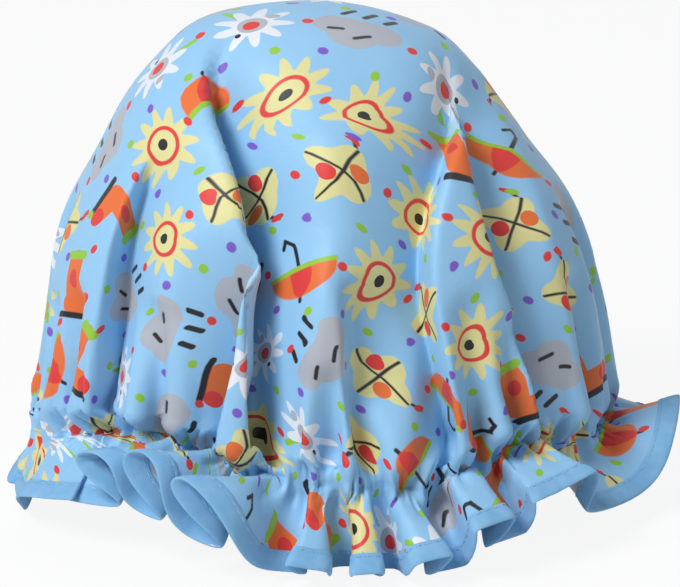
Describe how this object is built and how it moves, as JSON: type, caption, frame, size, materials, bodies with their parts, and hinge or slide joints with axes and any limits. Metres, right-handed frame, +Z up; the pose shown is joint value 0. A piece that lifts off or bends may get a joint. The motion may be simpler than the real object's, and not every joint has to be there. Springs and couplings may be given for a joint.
{
  "type": "shower cap",
  "caption": "Gathered fabric shower cap with a puffed, folded crown, an elastic round the head opening and a fluted frill with a bound edge.",
  "frame": {"origin": "middle of the cap's outline, on the surface it stands on", "axes": "+Z up from the mouth to the crown, -Y towards the pictured side, +X to its right"},
  "size_m": [0.2434, 0.219, 0.1766],
  "materials": {
    "printed_cloth": "satin, coated plain-weave polyester with a colour print",
    "binding_tape": "matte plain-weave bias tape",
    "elastic": "matte braided elastic"
  },
  "bodies": {
    "root": {"crown_fabric": "printed_cloth", "frill_fabric": "printed_cloth", "edge_binding": "binding_tape", "elastic_band": "elastic"}
  },
  "joints": []
}
